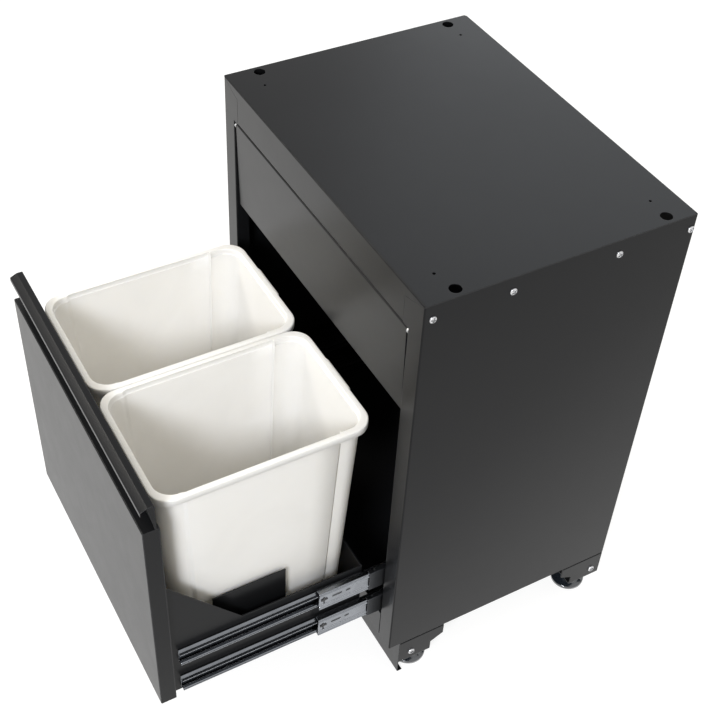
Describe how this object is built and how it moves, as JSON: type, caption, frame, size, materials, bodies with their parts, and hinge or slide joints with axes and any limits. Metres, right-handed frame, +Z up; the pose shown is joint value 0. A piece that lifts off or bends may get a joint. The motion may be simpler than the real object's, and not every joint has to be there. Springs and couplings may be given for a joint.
{
  "type": "pull-out waste bin cabinet",
  "caption": "Free-standing sheet-steel cabinet with a pull-out drawer on telescopic slides that carries open plastic waste bins, under a swing flap.",
  "frame": {"origin": "centre of the carcass footprint, on the ground under the feet", "axes": "+Z up, -Y out of the front, where the drawer is pulled to, +X to the right as seen from the front"},
  "size_m": [0.6888, 0.9426, 0.96],
  "materials": {
    "painted_steel": "fine matt anthracite powder coat",
    "inner_steel": "fine matt anthracite powder coat",
    "slides": "bright zinc plate",
    "cages": "oiled zinc plate",
    "levers": "moulded black plastic",
    "fasteners": "zinc plate",
    "foot_discs": "glossy moulded black plastic",
    "bins": "satin moulded white plastic"
  },
  "bodies": {
    "carcass": {"back_panel": "painted_steel", "back_panel_screws": "fasteners", "flap_pins": "fasteners", "floor_panel": "painted_steel", "foot_bracket_bolts": "fasteners", "foot_bracket_front_left": "painted_steel", "foot_bracket_front_right": "painted_steel", "foot_bracket_rear_left": "painted_steel", "foot_bracket_rear_right": "painted_steel", "plinth_panel": "painted_steel", "side_panel_left": "painted_steel", "side_panel_right": "painted_steel", "slide_bracket_front_left": "inner_steel", "slide_bracket_front_right": "inner_steel", "slide_bracket_rear_left": "inner_steel", "slide_bracket_rear_right": "inner_steel", "slide_cabinet_member_lower_left": "slides", "slide_cabinet_member_lower_right": "slides", "slide_cabinet_member_upper_left": "slides", "slide_cabinet_member_upper_right": "slides", "slide_screws": "fasteners", "top_panel": "painted_steel", "top_panel_screws": "fasteners", "weld_nuts": "fasteners"},
    "drawer": {"bin_retainer_left": "painted_steel", "bin_retainer_right": "painted_steel", "drawer_front": "painted_steel", "drawer_front_screws": "fasteners", "drawer_liner": "painted_steel", "handle_profile": "painted_steel", "slide_drawer_member_lower_left": "slides", "slide_drawer_member_lower_right": "slides", "slide_drawer_member_upper_left": "slides", "slide_drawer_member_upper_right": "slides", "tray_back": "painted_steel", "tray_floor": "painted_steel", "tray_side_left": "painted_steel", "tray_side_right": "painted_steel"},
    "slide_middle_left": {"slide_levers_left": "levers", "slide_middle_member_lower_left": "slides", "slide_middle_member_upper_left": "slides"},
    "slide_middle_right": {"slide_levers_right": "levers", "slide_middle_member_lower_right": "slides", "slide_middle_member_upper_right": "slides"},
    "outer_cages_left": {"outer_cages_left": "cages"},
    "outer_cages_right": {"outer_cages_right": "cages"},
    "inner_cages_left": {"inner_cages_left": "cages"},
    "inner_cages_right": {"inner_cages_right": "cages"},
    "flap": {"flap_panel": "painted_steel"},
    "bin_left": {"bin_left": "bins"},
    "bin_right": {"bin_right": "bins"},
    "foot_front_left": {"foot_disc_front_left": "foot_discs", "foot_spindle_front_left": "fasteners"},
    "foot_front_right": {"foot_disc_front_right": "foot_discs", "foot_spindle_front_right": "fasteners"},
    "foot_rear_left": {"foot_disc_rear_left": "foot_discs", "foot_spindle_rear_left": "fasteners"},
    "foot_rear_right": {"foot_disc_rear_right": "foot_discs", "foot_spindle_rear_right": "fasteners"}
  },
  "joints": [
    {"name": "drawer_slide", "type": "slide", "parent": "carcass", "child": "drawer", "axis": [0, -1, 0], "range_m": [-0.4376, 0]},
    {"name": "middle_slide_left", "type": "slide", "parent": "carcass", "child": "slide_middle_left", "axis": [0, -1, 0], "range_m": [-0.17504, 0]},
    {"name": "outer_cage_slide_left", "type": "slide", "parent": "carcass", "child": "outer_cages_left", "axis": [0, -1, 0], "range_m": [-0.08752, 0]},
    {"name": "inner_cage_slide_left", "type": "slide", "parent": "carcass", "child": "inner_cages_left", "axis": [0, -1, 0], "range_m": [-0.30632, 0]},
    {"name": "middle_slide_right", "type": "slide", "parent": "carcass", "child": "slide_middle_right", "axis": [0, -1, 0], "range_m": [-0.17504, 0]},
    {"name": "outer_cage_slide_right", "type": "slide", "parent": "carcass", "child": "outer_cages_right", "axis": [0, -1, 0], "range_m": [-0.08752, 0]},
    {"name": "inner_cage_slide_right", "type": "slide", "parent": "carcass", "child": "inner_cages_right", "axis": [0, -1, 0], "range_m": [-0.30632, 0]},
    {"name": "bin_lift_left", "type": "slide", "parent": "drawer", "child": "bin_left", "axis": [0, 0, 1], "range_m": [0, 0.48]},
    {"name": "bin_lift_right", "type": "slide", "parent": "drawer", "child": "bin_right", "axis": [0, 0, 1], "range_m": [0, 0.48]},
    {"name": "flap_hinge", "type": "hinge", "parent": "carcass", "child": "flap", "pos_m": [0, -0.24716, 0.88], "axis": [1, 0, 0], "range_deg": [-85, 85]},
    {"name": "foot_height_front_left", "type": "slide", "parent": "carcass", "child": "foot_front_left", "axis": [0, 0, 1], "range_m": [-0.02, 0.004]},
    {"name": "foot_height_front_right", "type": "slide", "parent": "carcass", "child": "foot_front_right", "axis": [0, 0, 1], "range_m": [-0.02, 0.004]},
    {"name": "foot_height_rear_left", "type": "slide", "parent": "carcass", "child": "foot_rear_left", "axis": [0, 0, 1], "range_m": [-0.02, 0.004]},
    {"name": "foot_height_rear_right", "type": "slide", "parent": "carcass", "child": "foot_rear_right", "axis": [0, 0, 1], "range_m": [-0.02, 0.004]}
  ],
  "couplings": [
    {"joint": "middle_slide_left", "follows": "drawer_slide", "ratio": 0.4},
    {"joint": "outer_cage_slide_left", "follows": "drawer_slide", "ratio": 0.2},
    {"joint": "inner_cage_slide_left", "follows": "drawer_slide", "ratio": 0.7},
    {"joint": "middle_slide_right", "follows": "drawer_slide", "ratio": 0.4},
    {"joint": "outer_cage_slide_right", "follows": "drawer_slide", "ratio": 0.2},
    {"joint": "inner_cage_slide_right", "follows": "drawer_slide", "ratio": 0.7}
  ]
}
